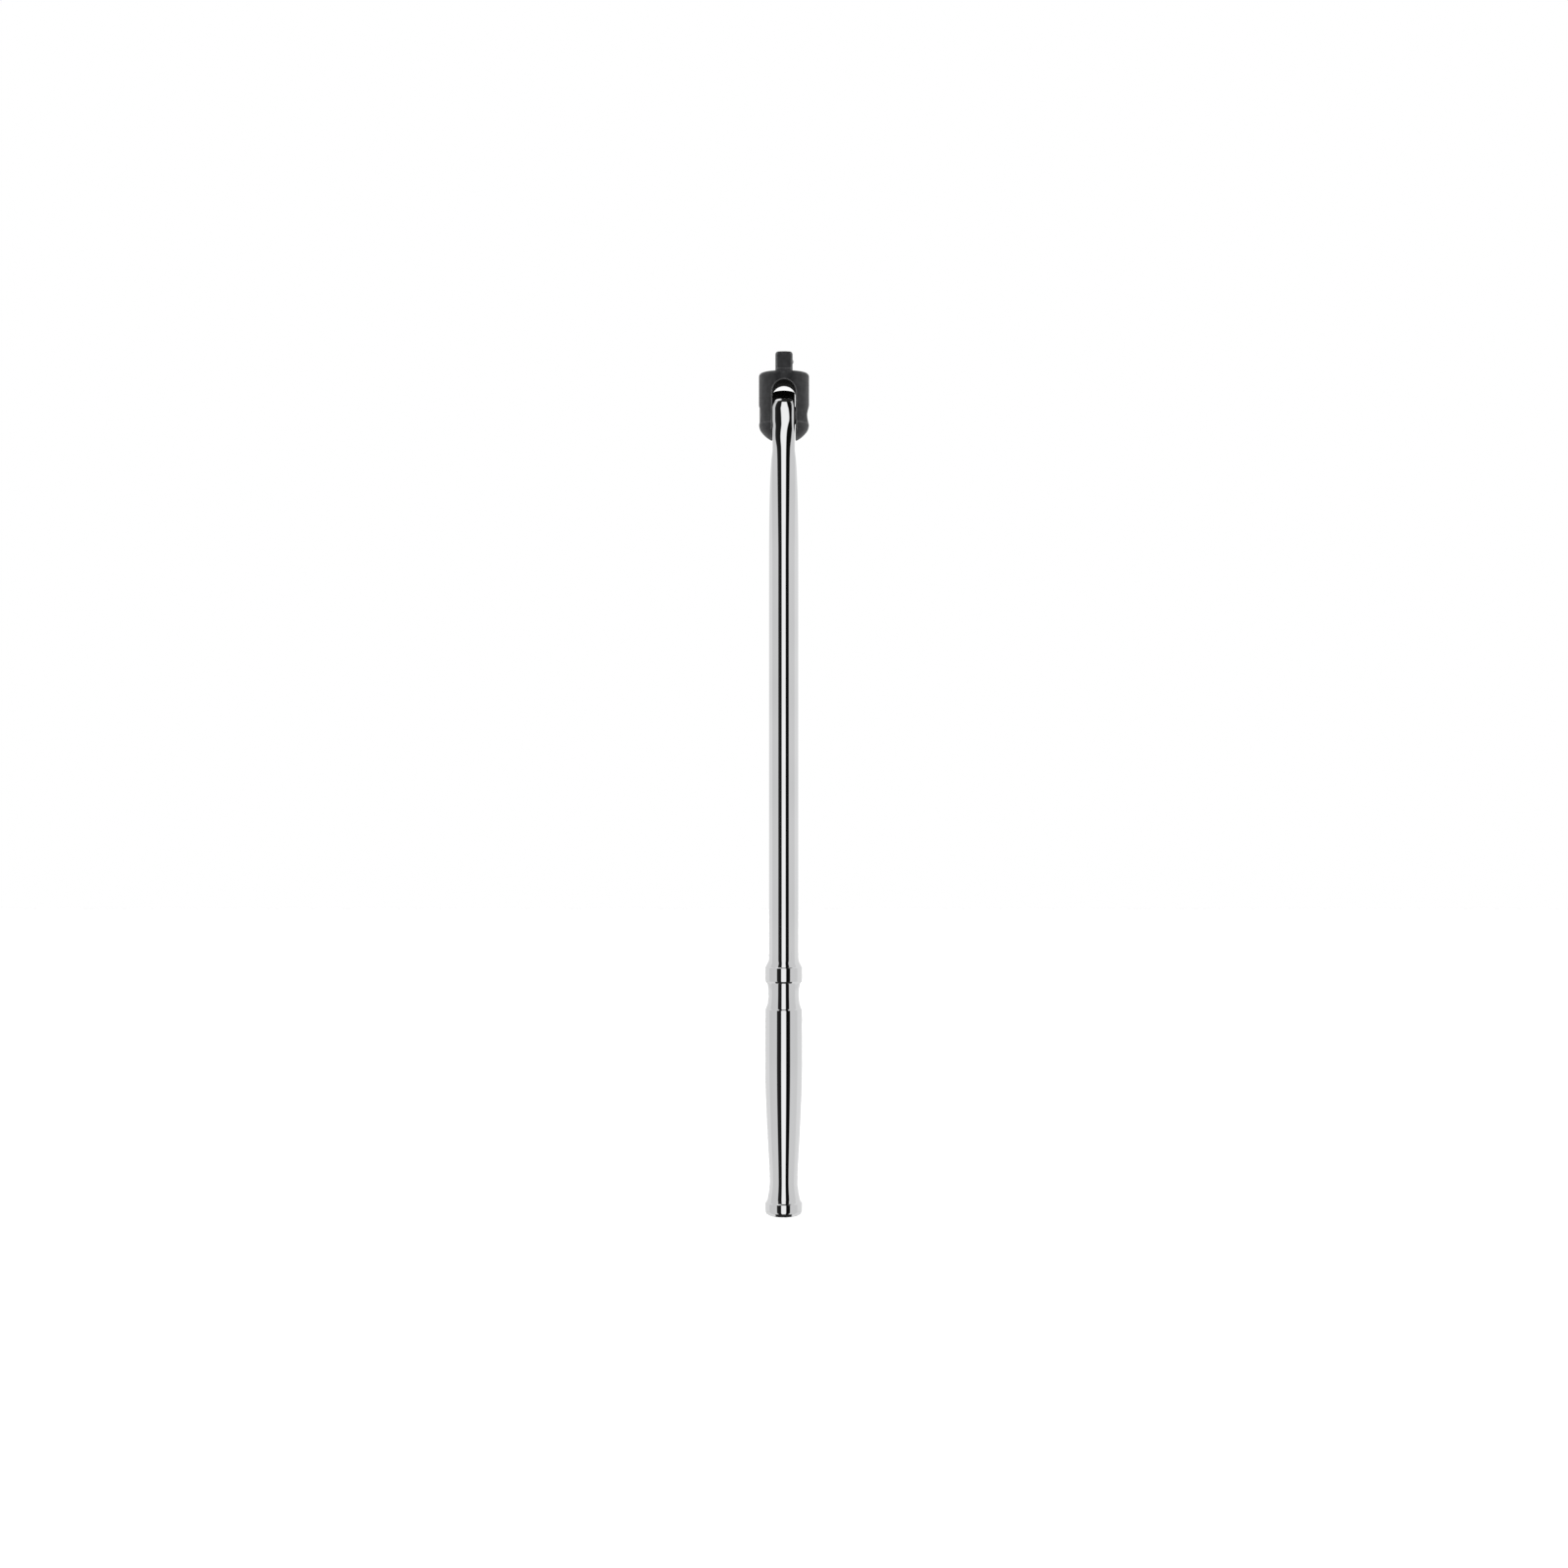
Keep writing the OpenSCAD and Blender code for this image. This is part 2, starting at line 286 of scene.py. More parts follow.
def quarter(reach, half_d, crown, lean_sine, count, facet=radians(89)):
    """A quarter of a section, from the middle of its crowned front to the middle of its flat side.

    reach is the distance from the crown's axis to the flat. A corner arc starts where the crown
    leans by lean_sine. It turns as far as the angle facet, where a flat runs on to a small edge arc.
    """
    steps = 60
    lean = asin(lean_sine)
    corner = (reach - crown * lean_sine) / (1 - lean_sine)
    edge = min(FLANK_EDGE_R, corner)
    turn = np.concatenate([np.linspace(0, lean, steps), np.linspace(lean, facet, steps)[1:],
                           np.linspace(facet, pi / 2, steps)[1:]])
    on_crown = turn <= lean
    on_edge = np.arange(len(turn)) > 2 * (steps - 1)
    radius = np.where(on_crown, crown, corner)
    offset = np.where(on_crown, 0, crown - corner)
    x = offset * lean_sine + radius * np.sin(turn)
    y = crown - half_d - offset * cos(lean) - radius * np.cos(turn)
    flat_rise = (corner - edge) * (1 - sin(facet)) * tan(facet)
    at_facet = y[~on_edge][-1]
    x[on_edge] = reach - edge * (1 - np.sin(turn[on_edge]))
    y[on_edge] = at_facet + flat_rise + edge * (cos(facet) - np.cos(turn[on_edge]))
    x = np.append(x, reach)
    y = np.append(y, 0)
    turn = np.append(turn, pi / 2)
    along = np.concatenate([[0], np.cumsum(np.hypot(np.diff(x), np.diff(y)))])
    measure = along / along[-1] + turn / (pi / 2)
    stops = np.linspace(0, 2, count + 1)
    return np.interp(stops, measure, x), np.interp(stops, measure, y)


def front_half(depth, count):
    """The front half of the section at a depth, from the left side's middle to the right side's.

    Past CORNER_END the corners start at the same lean, so that the points line up down the bar.
    """
    half_w, half_d, crown, shift, _, facet = neck_shape(depth)
    end_w, _, end_crown, end_shift, corner, _ = neck_shape(min(depth, CORNER_END))
    left_lean = (end_w + end_shift - LEFT_CORNER_R) / (end_crown - LEFT_CORNER_R)
    right_lean = (end_w - end_shift - corner) / (end_crown - corner)
    left_x, left_y = quarter(half_w + shift, half_d, crown, left_lean, count, radians(facet))
    right_x, right_y = quarter(half_w - shift, half_d, crown, right_lean, count)
    x = shift + np.concatenate([-left_x[::-1], right_x[1:]])
    return x, np.concatenate([left_y[::-1], right_y[1:]])


def round_half(count):
    """The front half of a round section of radius 1, whose points follow on from the neck's."""
    half_w, _, crown, _, corner, _ = neck_shape(CORNER_END)
    x, y = quarter(1, 1, 1, (half_w - corner) / (crown - corner), count)
    return np.concatenate([-x[::-1], x[1:]]), np.concatenate([y[::-1], y[1:]])


def whole_ring(x, y, depth):
    """A closed ring of points from the front half of its section."""
    ring_x = np.concatenate([x, x[-2:0:-1]])
    ring_y = np.concatenate([y, -y[-2:0:-1]])
    return np.stack([BAR_X + ring_x, ring_y, np.full(len(ring_x), -depth)], -1)


def turned_outline():
    """Radius and depth of the turned part of the bar, from the end of the neck to the butt."""
    steps = 60
    end_turn = np.radians(np.linspace(0, 90, 13))[1:]
    end_round = np.stack([BUTT_R - BUTT_ROUND_R * (1 - np.cos(end_turn)),
                          BAR_END - BUTT_ROUND_H * (1 - np.sin(end_turn))], -1)
    return np.concatenate([
        [[SHAFT_R, NECK_END], [SHAFT_R, COLLAR_TOP - COLLAR_RISE]],
        bezier([SHAFT_R, COLLAR_TOP - COLLAR_RISE], [SHAFT_R, COLLAR_TOP - 4.3],
               [COLLAR_R - 1.2, COLLAR_TOP - 3.6], [COLLAR_R - 0.55, COLLAR_TOP - 1.1], steps),
        [[COLLAR_R, COLLAR_TOP - 0.5], [COLLAR_R, COLLAR_BOTTOM + 0.3]],
        [[COLLAR_R - 1.2, COLLAR_BOTTOM + 1.6]],
        bezier([COLLAR_R - 1.2, COLLAR_BOTTOM + 1.6], [GROOVE_R + 0.7, COLLAR_BOTTOM + 3.2],
               [GROOVE_R, COLLAR_BOTTOM + 5.7], [GROOVE_R, GROOVE_MID], steps),
        bezier([GROOVE_R, GROOVE_MID], [GROOVE_R, GROOVE_MID + 5.5],
               [GROOVE_R + 0.8, GROOVE_MID + 8], [GRIP_R - 0.75, GROOVE_MID + 10.4], steps),
        [[GRIP_R - 0.1, GRIP_TOP - 0.7], [GRIP_R, GRIP_SWELL_END]],
        bezier([GRIP_R, GRIP_SWELL_END], [GRIP_R, GRIP_SWELL_END + 37],
               [WAIST_R, WAIST - 13], [WAIST_R, WAIST], 2 * steps),
        bezier([WAIST_R, WAIST], [WAIST_R, WAIST + 5],
               [WAIST_R + 1.2, WAIST + 10.5], [WAIST_R + 1.7, FLARE_END], steps),
        [[BUTT_R - 0.75, BUTT_TOP - 1.0], [BUTT_R, BUTT_TOP - 0.2], [BUTT_R, BAR_END - BUTT_ROUND_H]],
        end_round,
        [[0, BAR_END]],
    ])


def tip_outline():
    """Distance from the pivot against angle over the tip of the tang, from its front to its back."""
    corner = asin(sqrt(TANG_TIP_R ** 2 - TANG_HALF_D ** 2) / TANG_TIP_R)
    arc = np.linspace(corner, pi - corner, 90)
    path = np.concatenate([[[TANG_HALF_D, 0]],
                           TANG_TIP_R * np.stack([np.cos(arc), np.sin(arc)], -1),
                           [[-TANG_HALF_D, 0]]])
    path = soften(path, 0.5)
    return np.arctan2(np.maximum(path[:, 1], 0), path[:, 0]), np.hypot(path[:, 0], path[:, 1])


def make_bar():
    """The polished bar: the tang's tip, the forged neck and the turned part, with the bores cut."""
    quarter_points = 48

    # The tip is the forged section swung over the tip's outline. Its flat sides stay flat: points
    # on them keep their share of the way from the pivot to the corner.
    outline_angle, outline_r = tip_outline()
    tip = []
    for angle in np.linspace(0, pi, 121):
        radius = np.interp(angle, outline_angle, outline_r)
        x, y = front_half(-PIVOT_Z - radius * sin(angle), quarter_points)
        on_flat = np.abs(x) >= TANG_HALF_W - 1e-4
        flat_half = np.abs(y)[on_flat].max()
        reach = np.abs(y) + (radius - TANG_HALF_D) * np.clip(np.abs(y) / flat_half, 0, 1)
        tip.append(np.stack([BAR_X + x, -reach * cos(angle), PIVOT_Z + reach * sin(angle)], -1))

    neck_depths = np.concatenate([np.arange(-PIVOT_Z, GENTLE_FROM, 0.8),
                                  np.arange(GENTLE_FROM, NECK_END, 2.5)])
    rings = [whole_ring(*front_half(depth, quarter_points), depth) for depth in neck_depths]
    turned = thin(soften(turned_outline(), 0.14), radians(4), 9)
    unit_x, unit_y = round_half(quarter_points)
    rings += [whole_ring(r * unit_x, r * unit_y, depth) for r, depth in turned]

    bar = make_piece("polished_bar", [skin(np.array(tip)[::-1], wrap=False), skin(np.array(rings))])
    bore_r = PIN_R + PIN_GAP
    bore = np.array([[-HEAD_R, 0], [-HEAD_R, bore_r], [HEAD_R, bore_r], [HEAD_R, 0]])
    pocket = np.array([[FRICTION_POCKET_END_X, 0], [FRICTION_POCKET_END_X, BALL_BORE_R],
                       [HEAD_R, BALL_BORE_R], [HEAD_R, 0]])
    cut(bar,
        make_piece("bore_cutter", [turn_about_x(bore, (0, 0, PIVOT_Z))]),
        make_piece("pocket_cutter", [turn_about_x(pocket, FRICTION_CENTRE, 48)]))
    return bar


# ---------------------------------------------------------------- the head

def round_and(a, b, r):
    """Distance to what two solids share, with a rounded edge of radius r."""
    return np.minimum(-r, np.maximum(a, b)) + np.hypot(np.maximum(a + r, 0), np.maximum(b + r, 0))


def round_or(a, b, r):
    """Distance to two solids joined, with a fillet of radius r."""
    return np.maximum(r, np.minimum(a, b)) - np.hypot(np.maximum(r - a, 0), np.maximum(r - b, 0))


def slot_distance(p):
    """Distance from points to the walls of the slot, negative in the open slot."""
    return np.hypot(p[..., 0], np.maximum(p[..., 2] + SLOT_TOP + SLOT_R, 0)) - SLOT_R


def head_distance(p):
    """Distance from points to the surface of the head, negative inside it."""
    x, y, z = p[..., 0], p[..., 1], p[..., 2]
    across = np.hypot(x, y)
    body = round_and(across - HEAD_R, z, HEAD_ROUND)
    ball_end = np.hypot(across, np.minimum(z - PIVOT_Z, 0)) - HEAD_END_R
    body = round_and(body, ball_end, HEAD_CORNER)
    body = round_and(body, -slot_distance(p), SLOT_EDGE)
    bore = np.hypot(y, z - PIVOT_Z) - PIN_R
    body = round_and(body, -bore, BORE_EDGE)

    flats = np.maximum(np.abs(x), np.abs(y)) - SQUARE_W / 2
    corners = (np.abs(x) + np.abs(y)) * sqrt(0.5) - (SQUARE_W - SQUARE_CORNER) * sqrt(0.5)
    square = round_and(flats, corners, SQUARE_EDGE)
    dome = z - SQUARE_LEN + across ** 2 / (2 * TIP_DOME_R)
    square = np.maximum(round_and(square, dome, TIP_ROUND), SQUARE_ROOT_Z - z)
    whole = round_or(body, square, ROOT_FILLET)

    mouth = np.maximum(x - DETENT_CENTRE[0], 0)
    hole = np.sqrt(y ** 2 + (z - DETENT_CENTRE[2]) ** 2 + mouth ** 2) - BALL_BORE_R
    return round_and(whole, -np.maximum(hole, DETENT_BORE_END_X - x), HOLE_EDGE)


def slope(distance, points, step):
    """The distance at some points, its gradient there, and how sharply the surface curves."""
    here = distance(points)
    gradient = np.zeros_like(points)
    spread = -6 * here
    for axis in range(3):
        offset = np.zeros(3)
        offset[axis] = step
        ahead, behind = distance(points + offset), distance(points - offset)
        gradient[:, axis] = (ahead - behind) / (2 * step)
        spread += ahead + behind
    return here, gradient, spread / step ** 2


def settle(distance, points, rounds):
    """Moves points along the gradient onto the surface."""
    for _ in range(rounds):
        here, gradient, _ = slope(distance, points, 0.02)
        size = np.maximum((gradient ** 2).sum(1), 0.25)
        points = points - gradient * (here / size)[:, None]
    return points


def net(distance, low, high, cell):
    """Points and quads of the surface where a distance is zero, about a cell apart."""
    axes = [np.arange(a, b + cell, cell) for a, b in zip(low, high)]
    inside = distance(np.stack(np.meshgrid(*axes, indexing="ij"), -1)) < 0
    corners = [inside[i:i - 1 or None, j:j - 1 or None, k:k - 1 or None]
               for i in (0, 1) for j in (0, 1) for k in (0, 1)]
    crossed = np.any(corners, axis=0) & ~np.all(corners, axis=0)
    number = np.full(crossed.shape, -1)
    number[crossed] = np.arange(crossed.sum())
    points = np.array(low) + (np.argwhere(crossed) + 0.5) * cell
    quads = []
    for axis in range(3):
        first = np.take(inside, range(inside.shape[axis] - 1), axis=axis)
        second = np.take(inside, range(1, inside.shape[axis]), axis=axis)
        side_a, side_b = np.eye(3, dtype=int)[(axis + 1) % 3], np.eye(3, dtype=int)[(axis + 2) % 3]
        for outward, hits in ((True, first & ~second), (False, ~first & second)):
            at = np.argwhere(hits)
            ring = [at - side_a - side_b, at - side_b, at, at - side_a]
            quad = np.stack([number[tuple(cells.T)] for cells in ring], -1)
            quads.append(quad if outward else quad[:, ::-1])
    return points, np.concatenate(quads)


def average_over(quads, values, rounds):
    """Each point's value, averaged with those of its neighbours."""
    edges = np.concatenate([quads[:, [i, (i + 1) % 4]] for i in range(4)])
    neighbours = np.bincount(edges[:, 0], minlength=len(values))
    for _ in range(rounds):
        total = np.bincount(edges[:, 0], values[edges[:, 1]], len(values))
        values = (values + total / neighbours) / 2
    return values


def relax(distance, points, quads, rounds):
    """Evens out a net's spacing, keeping its points on the surface."""
    for _ in range(rounds):
        evened = np.stack([average_over(quads, points[:, k], 1) for k in range(3)], -1)
        points = settle(distance, evened, 1)
    return settle(distance, points, 3)


def make_head():
    """The yoke head, with two values at each point: how rubbed it is, whose grey partly paints highlights
    on the edges, and if it is in the slot, where its colour paints shade.
    """
    margin = 1.5
    points, quads = net(head_distance, head_low - margin, head_high + margin, HEAD_CELL)
    points = relax(head_distance, settle(head_distance, points, 4), quads, 6)
    points = np.clip(points, head_low, head_high)
    mesh = bpy.data.meshes.new("yoke_head")
    mesh.from_pydata((points * MM).tolist(), [], quads.tolist())
    mesh.shade_smooth()
    gradient = slope(head_distance, points, 0.08)[1]
    sharpest = 1.5
    bend = np.clip(slope(head_distance, points, 0.3)[2], -sharpest, sharpest)
    bend = average_over(quads, bend, 3)
    # A painted highlight: a lighter line round the square's root, added to the edge values that turn the
    # colour grey
    bend += np.exp(-((points[:, 2] - ROOT_HIGHLIGHT_Z) / ROOT_HIGHLIGHT_W) ** 2)
    # The edge values turn the colour grey: partly rubbed wear, partly a painted highlight
    unrubbed_unlit = (points[:, 2] < RUBBED_AND_LIT_TO_Z) & (np.abs(points[:, 0]) > SLOT_R + 2)
    # Points in the slot get painted shade: the material colours them near black
    in_slot = slot_distance(points) < 0.25
    for name, values in (("wear", bend * ~unrubbed_unlit), ("slot_shade", in_slot)):
        attribute = mesh.attributes.new(name, "FLOAT", "POINT")
        attribute.data.foreach_set("value", average_over(quads, values, 2).astype(np.float32))
    normals = gradient / np.linalg.norm(gradient, axis=1, keepdims=True)
    mesh.normals_split_custom_set_from_vertices(normals.tolist())
    head = bpy.data.objects.new("yoke_head", mesh)
    bpy.context.scene.collection.objects.link(head)
    return head


# ---------------------------------------------------------------- pin and springs

def make_pin():
    """The pivot pin: bevelled ends, each with the small mark of a lathe centre."""
    left, right = pin_low[0], pin_high[0]
    radius = PIN_R - 0.02
    half = [[CENTRE_MARK_DEPTH, 0], [CENTRE_MARK_DEPTH - 0.05, 0.3], [0, CENTRE_MARK_R],
            [0, radius - PIN_BEVEL], [PIN_BEVEL, radius]]
    outline = [[left + x, r] for x, r in half] + [[right - x, r] for x, r in half[::-1]]
    profile = thin(soften(outline, 0.12), radians(6), 6)
    return make_piece("pressed_pin", [turn_about_x(profile, (0, 0, PIVOT_Z), 120)], radians(60))


def make_spring(name, node, centre):
    """A coil spring along X with closed, flattened ends, in the place of its plain CAD node."""
    low, high = box_mm(node)
    wire_r = WIRE_D / 2
    coil_r = (high[1] - low[1]) / 2 - wire_r
    ground_off = 0.12
    start, end = low[0] + wire_r, high[0] - wire_r
    turns = np.linspace(0, SPRING_TURNS, SPRING_TURNS * 36 + 1)
    closed = 1.04 * WIRE_D
    x = np.interp(turns, [0, 1, SPRING_TURNS - 1, SPRING_TURNS], [start, start + closed, end - closed, end])
    middle = np.stack([x, centre[1] + coil_r * np.cos(2 * pi * turns),
                       centre[2] + coil_r * np.sin(2 * pi * turns)], -1)
    ahead = np.gradient(middle, axis=0)
    ahead /= np.linalg.norm(ahead, axis=1, keepdims=True)
    outward = (middle - [[0, centre[1], centre[2]]]) * [[0, 1, 1]] / coil_r
    across = np.cross(ahead, outward)
    around = np.linspace(0, 2 * pi, 12, endpoint=False)[None, :, None]
    rows = middle[:, None] + wire_r * (np.cos(around) * outward[:, None] + np.sin(around) * across[:, None])
    rows[..., 0] = np.clip(rows[..., 0], low[0] + ground_off, high[0] - ground_off)
    first, last = (np.repeat(rows[i].mean(0, keepdims=True), rows.shape[1], 0)[None] for i in (0, -1))
    return make_piece(name, [skin(np.concatenate([first, rows, last])[::-1])], radians(60))


# ---------------------------------------------------------------- materials

def add(tree, kind, inputs=(), **settings):
    """A new node. inputs gives sockets a value or another node's output."""
    made = tree.nodes.new(kind)
    for name, value in settings.items():
        setattr(made, name, value)
    for name, value in dict(inputs).items():
        if isinstance(value, bpy.types.NodeSocket):
            tree.links.new(value, made.inputs[name])
        else:
            made.inputs[name].default_value = value
    return made


def noise(tree, place, scale, detail=4.0, stretch=(1, 1, 1)):
    """Noise between 0 and 1 whose grain is 1 / scale metres, stretched along some axes."""
    moved = add(tree, "ShaderNodeMapping", {"Vector": place, "Scale": stretch})
    grain = add(tree, "ShaderNodeTexNoise",
                {"Vector": moved.outputs["Vector"], "Scale": scale, "Detail": detail})
    return grain.outputs["Fac"]


def ranged(tree, value, low, high, to_low=0.0, to_high=1.0):
    """A value's stretch from low to high, mapped smoothly to another."""
    node = add(tree, "ShaderNodeMapRange", {"Value": value, "From Min": low, "From Max": high,
                                            "To Min": to_low, "To Max": to_high},
               interpolation_type="SMOOTHSTEP")
    return node.outputs["Result"]


def maths(tree, operation, a, b=0.0):
    """The result of one step of arithmetic on two values or sockets."""
    return add(tree, "ShaderNodeMath", {0: a, 1: b}, operation=operation).outputs[0]


def blend(tree, factor, a, b):
    """Colour a where the factor is 0, and b where it is 1."""
    node = tree.nodes.new("ShaderNodeMix")
    node.data_type = "RGBA"
    for socket, value in ((node.inputs[0], factor), (node.inputs[6], a), (node.inputs[7], b)):
        if isinstance(value, bpy.types.NodeSocket):
            tree.links.new(value, socket)
        else:
            socket.default_value = value if socket.type == "VALUE" else (*value, 1)
    return node.outputs[2]


def new_material(name, metallic):
    """A material, its node tree, its shader and its object coordinates."""
    material = bpy.data.materials.new(name)
    material.use_nodes = True
    tree = material.node_tree
    shader = tree.nodes["Principled BSDF"]
    shader.inputs["Metallic"].default_value = metallic
    place = add(tree, "ShaderNodeTexCoord").outputs["Object"]
    return material, tree, shader, place


def finish_surface(tree, shader, colour, roughness, height, depth_mm):
    """Joins a material's colour, roughness and relief to its shader."""
    bump = add(tree, "ShaderNodeBump", {"Height": height, "Strength": 1.0, "Distance": depth_mm * MM})
    tree.links.new(colour, shader.inputs["Base Color"])
    tree.links.new(roughness, shader.inputs["Roughness"])
    tree.links.new(bump.outputs["Normal"], shader.inputs["Normal"])


def chrome():
    """Bright plate over polished steel: faint polishing lines, handling haze and hairline marks."""
    material, tree, shader, place = new_material("chrome_plate", 1.0)
    haze = noise(tree, place, 45, 5, (1, 1, 0.35))
    lines = noise(tree, place, 1500, 2, (1, 1, 0.02))
    marks = ranged(tree, noise(tree, place, 700, 6, (1, 1, 0.05)), 0.66, 0.74)
    tint = ranged(tree, noise(tree, place, 18, 2), 0.3, 0.7)
    colour = blend(tree, tint, (0.83, 0.832, 0.84), (0.80, 0.803, 0.81))
    colour = blend(tree, marks, colour, (0.77, 0.772, 0.78))
    hazed = ranged(tree, haze, 0.35, 0.75, 0.012, 0.03)
    roughness = maths(tree, "ADD", hazed, maths(tree, "MULTIPLY", marks, 0.02))
    finish_surface(tree, shader, colour, roughness, lines, 0.0003)
    return material


def black_oxide():
    """Satin black oxide on forged steel: mottled, with its convex edges rubbed to grey, partly wear and
    partly a painted highlight, and painted shade inside the slot.
    """
    material, tree, shader, place = new_material("black_oxide", 0.3)
    mottle = noise(tree, place, 260, 6)
    grain = noise(tree, place, 2400, 3)
    bend = add(tree, "ShaderNodeAttribute", attribute_name="wear").outputs["Fac"]
    slot_shade = add(tree, "ShaderNodeAttribute", attribute_name="slot_shade").outputs["Fac"]
    uneven_bend = maths(tree, "ADD", bend, maths(tree, "MULTIPLY", mottle, 0.5))
    rubbed_and_highlit = ranged(tree, uneven_bend, 0.55, 1.2)
    colour = blend(tree, ranged(tree, mottle, 0.3, 0.7), (0.020, 0.0205, 0.0225), (0.034, 0.0345, 0.037))
    # Painted shade: inside the slot the colour goes near black
    colour = blend(tree, slot_shade, colour, (0.004, 0.004, 0.0042))
    # Convex edges turn grey: partly rubbed wear, partly a painted highlight
    colour = blend(tree, rubbed_and_highlit, colour, (0.13, 0.13, 0.133))
    roughness = ranged(tree, grain, 0.25, 0.75, 0.36, 0.5)
    roughness = maths(tree, "ADD", roughness, maths(tree, "MULTIPLY", rubbed_and_highlit, -0.1))
    roughness = maths(tree, "ADD", roughness, maths(tree, "MULTIPLY", slot_shade, 0.7))
    height = maths(tree, "ADD", grain, maths(tree, "MULTIPLY", mottle, 2.0))
    finish_surface(tree, shader, colour, roughness, height, 0.009)
    return material


def ground_steel():
    """The pin: turned rings on its ends, ground along its length, with a film of old oil."""
    material, tree, shader, place = new_material("pin_steel", 1.0)
    centred = add(tree, "ShaderNodeVectorMath", {0: place, 1: (0, 0, -PIVOT_Z * MM)}, operation="ADD")
    rings = add(tree, "ShaderNodeTexWave", {"Vector": centred.outputs[0], "Scale": 900, "Distortion": 1.5},
                wave_type="RINGS", rings_direction="X").outputs["Fac"]
    film = noise(tree, place, 220, 5)
    colour = blend(tree, ranged(tree, film, 0.35, 0.7), (0.36, 0.36, 0.365), (0.20, 0.19, 0.18))
    roughness = ranged(tree, film, 0.3, 0.7, 0.24, 0.42)
    finish_surface(tree, shader, colour, roughness, rings, 0.004)
    return material


def ball_steel():
    """Hardened bearing steel: bright, with fine wear marks and a few specks of oil."""
    material, tree, shader, place = new_material("ball_steel", 1.0)
    wear = noise(tree, place, 1800, 6, (1, 1, 0.3))
    specks = ranged(tree, noise(tree, place, 900, 3), 0.62, 0.72)
    colour = blend(tree, specks, (0.62, 0.62, 0.63), (0.34, 0.33, 0.31))
    roughness = ranged(tree, wear, 0.3, 0.75, 0.10, 0.28)
    finish_surface(tree, shader, colour, roughness, wear, 0.002)
    return material


def spring_wire():
    """Drawn wire: fine marks along it and darker oil between its coils."""
    material, tree, shader, place = new_material("spring_wire", 1.0)
    drawn = noise(tree, place, 3200, 4, (1, 0.2, 0.2))
    oil = ranged(tree, noise(tree, place, 600, 4), 0.4, 0.65)
    colour = blend(tree, oil, (0.42, 0.42, 0.43), (0.22, 0.21, 0.20))
    roughness = ranged(tree, drawn, 0.3, 0.7, 0.26, 0.45)
    finish_surface(tree, shader, colour, roughness, drawn, 0.004)
    return material


def floor_paper():
    """White paper sweep with a faint tooth."""
    material, tree, shader, place = new_material("floor_paper", 0.0)
    tooth = noise(tree, place, 300, 3)
    colour = blend(tree, tooth, (0.90, 0.90, 0.90), (0.92, 0.92, 0.92))
    shader.inputs["Specular IOR Level"].default_value = 0.0
    finish_surface(tree, shader, colour, ranged(tree, tooth, 0, 1, 0.9, 1.0), tooth, 0.05)
    return material


# ---------------------------------------------------------------- pieces on their bodies

def dress(piece, body, slot, node):
    """Gives a new piece its body, its material, that material's slot, and its CAD node's place."""
    piece.data.materials.clear()
    piece.data.materials.append(materials[slot])
    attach(piece, body)
    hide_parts(node)


def add_spring(name, node, centre, body):
    """A coil spring in the place of its CAD node, on the body that carries it."""
    piece = make_spring(name, node, centre)
    dress(piece, body, "spring_wire", node)
    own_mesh(piece)


materials = {"chrome_plate": chrome(), "black_oxide": black_oxide(), "pin_steel": ground_steel(),
             "ball_steel": ball_steel(), "spring_wire": spring_wire()}
dress(make_bar(), "handle", "chrome_plate", "handle_bar")
dress(make_head(), "head", "black_oxide", "drive_head")
dress(make_pin(), "head", "pin_steel", "pivot_pin")
add_spring("detent_coil", "detent_spring", DETENT_CENTRE, "head")
add_spring("friction_coil", "friction_spring", FRICTION_CENTRE, "handle")
for node in ("detent_ball", "friction_ball"):
    frame["nodes"][node].material_slots[0].material = materials["ball_steel"]


# ---------------------------------------------------------------- stage, light and camera

def make_floor():
    """A pale floor, far enough below the butt that no contact shadow shows."""
    half = FLOOR_SIZE / 2
    z = bar_low[2] - FLOOR_GAP
    corners = np.array([[-half, -half, z], [half, -half, z], [half, half, z], [-half, half, z]])
    floor = make_piece("floor", [(corners, np.array([[0, 1, 2, 3]]))])
    floor.data.materials.append(floor_paper())
    floor.visible_glossy = False
    floor.visible_diffuse = False


def panel_ramp(tree, share, stops):
    """Brightness against azimuth, from a share of the whole turn."""
    ramp = add(tree, "ShaderNodeValToRGB", {"Fac": share})
    elements = ramp.color_ramp.elements
    while len(elements) < len(stops):
        elements.new(0.5)
    for element, (angle, level) in zip(elements, stops):
        element.position = angle / 360 + 0.5
        element.color = (level, level, level, 1)
    return ramp.outputs["Color"]


